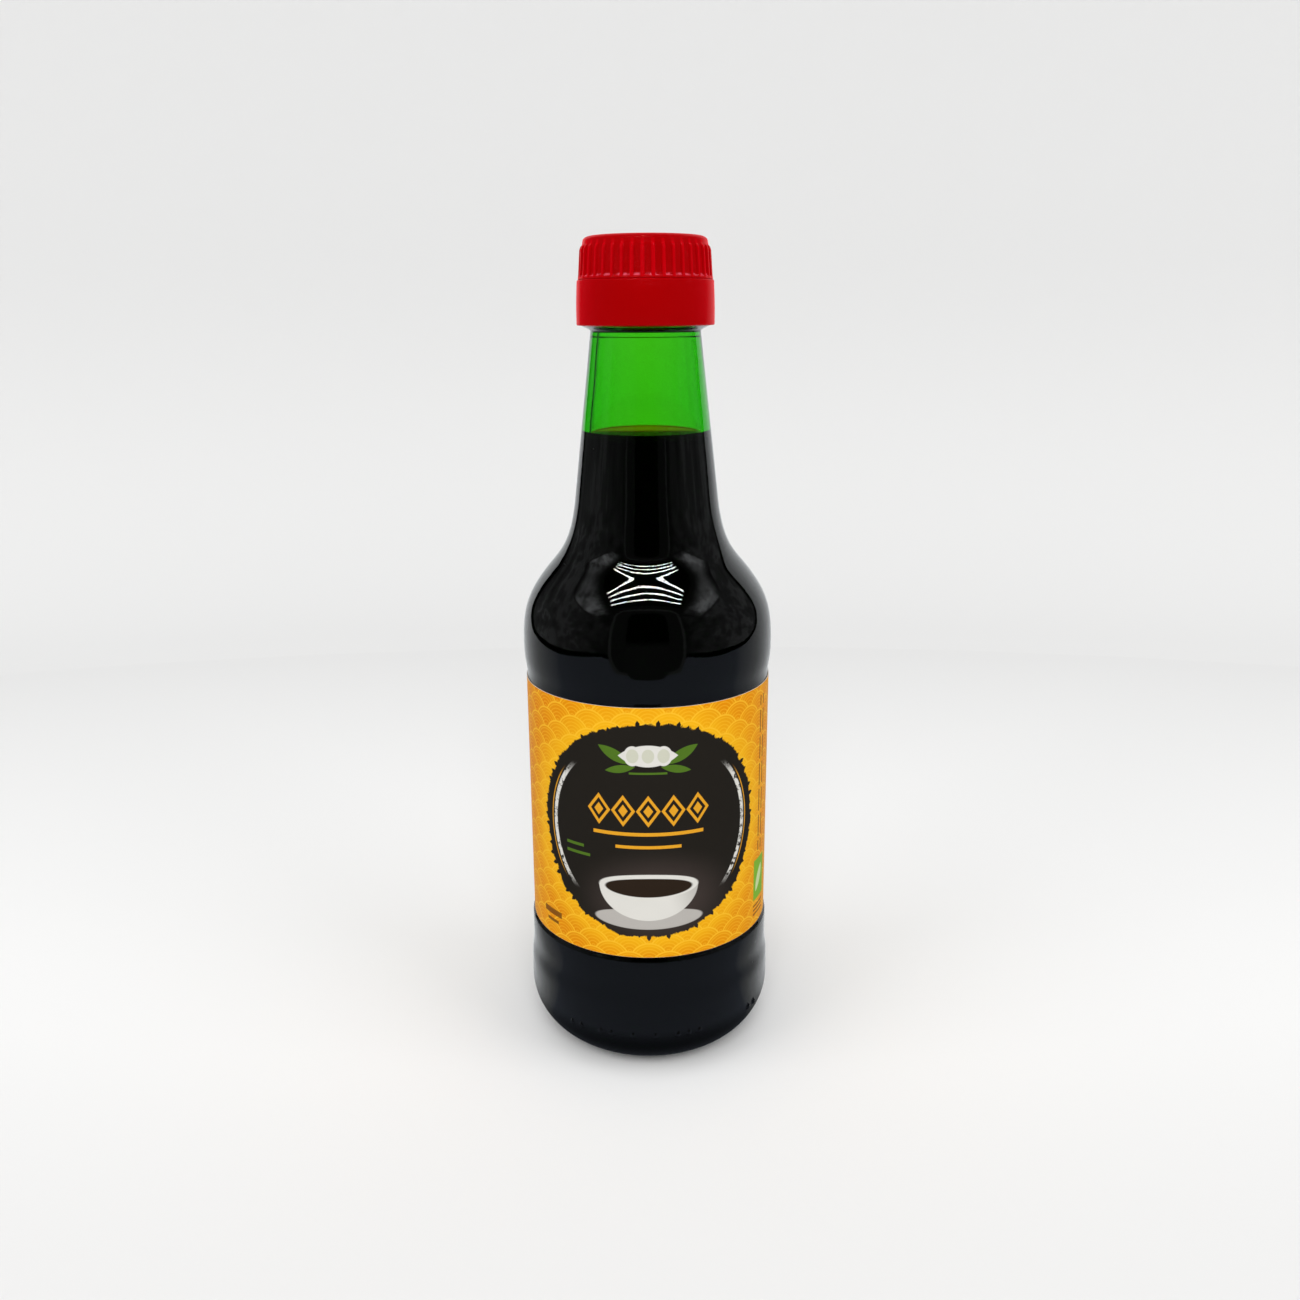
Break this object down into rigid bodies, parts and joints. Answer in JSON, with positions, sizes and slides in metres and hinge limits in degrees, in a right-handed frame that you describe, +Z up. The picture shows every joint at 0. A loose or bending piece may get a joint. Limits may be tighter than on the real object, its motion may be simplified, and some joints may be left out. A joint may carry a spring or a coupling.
{
  "type": "soy sauce bottle",
  "caption": "Small shut glass bottle of soy sauce with a wrap-round paper label, a plastic collar on its neck and a ribbed screw cap.",
  "frame": {"origin": "on the bottle's axis, at the height of the surface that it stands on", "axes": "+Z up along the axis, the middle of the label's front faces -Y"},
  "size_m": [0.0586, 0.059, 0.188],
  "materials": {
    "green_glass": "clear bright green container glass, smooth and glossy",
    "soy_sauce": "dark brown liquid, nearly black in depth, with a still glossy surface",
    "label_paper": "semi-gloss printed paper, orange ground with a dark round field",
    "red_plastic": "moulded red polypropylene, satin"
  },
  "bodies": {
    "root": {"bottle": "green_glass", "soy_sauce": "soy_sauce", "label": "label_paper", "collar": "red_plastic", "cap": "red_plastic"}
  },
  "joints": []
}
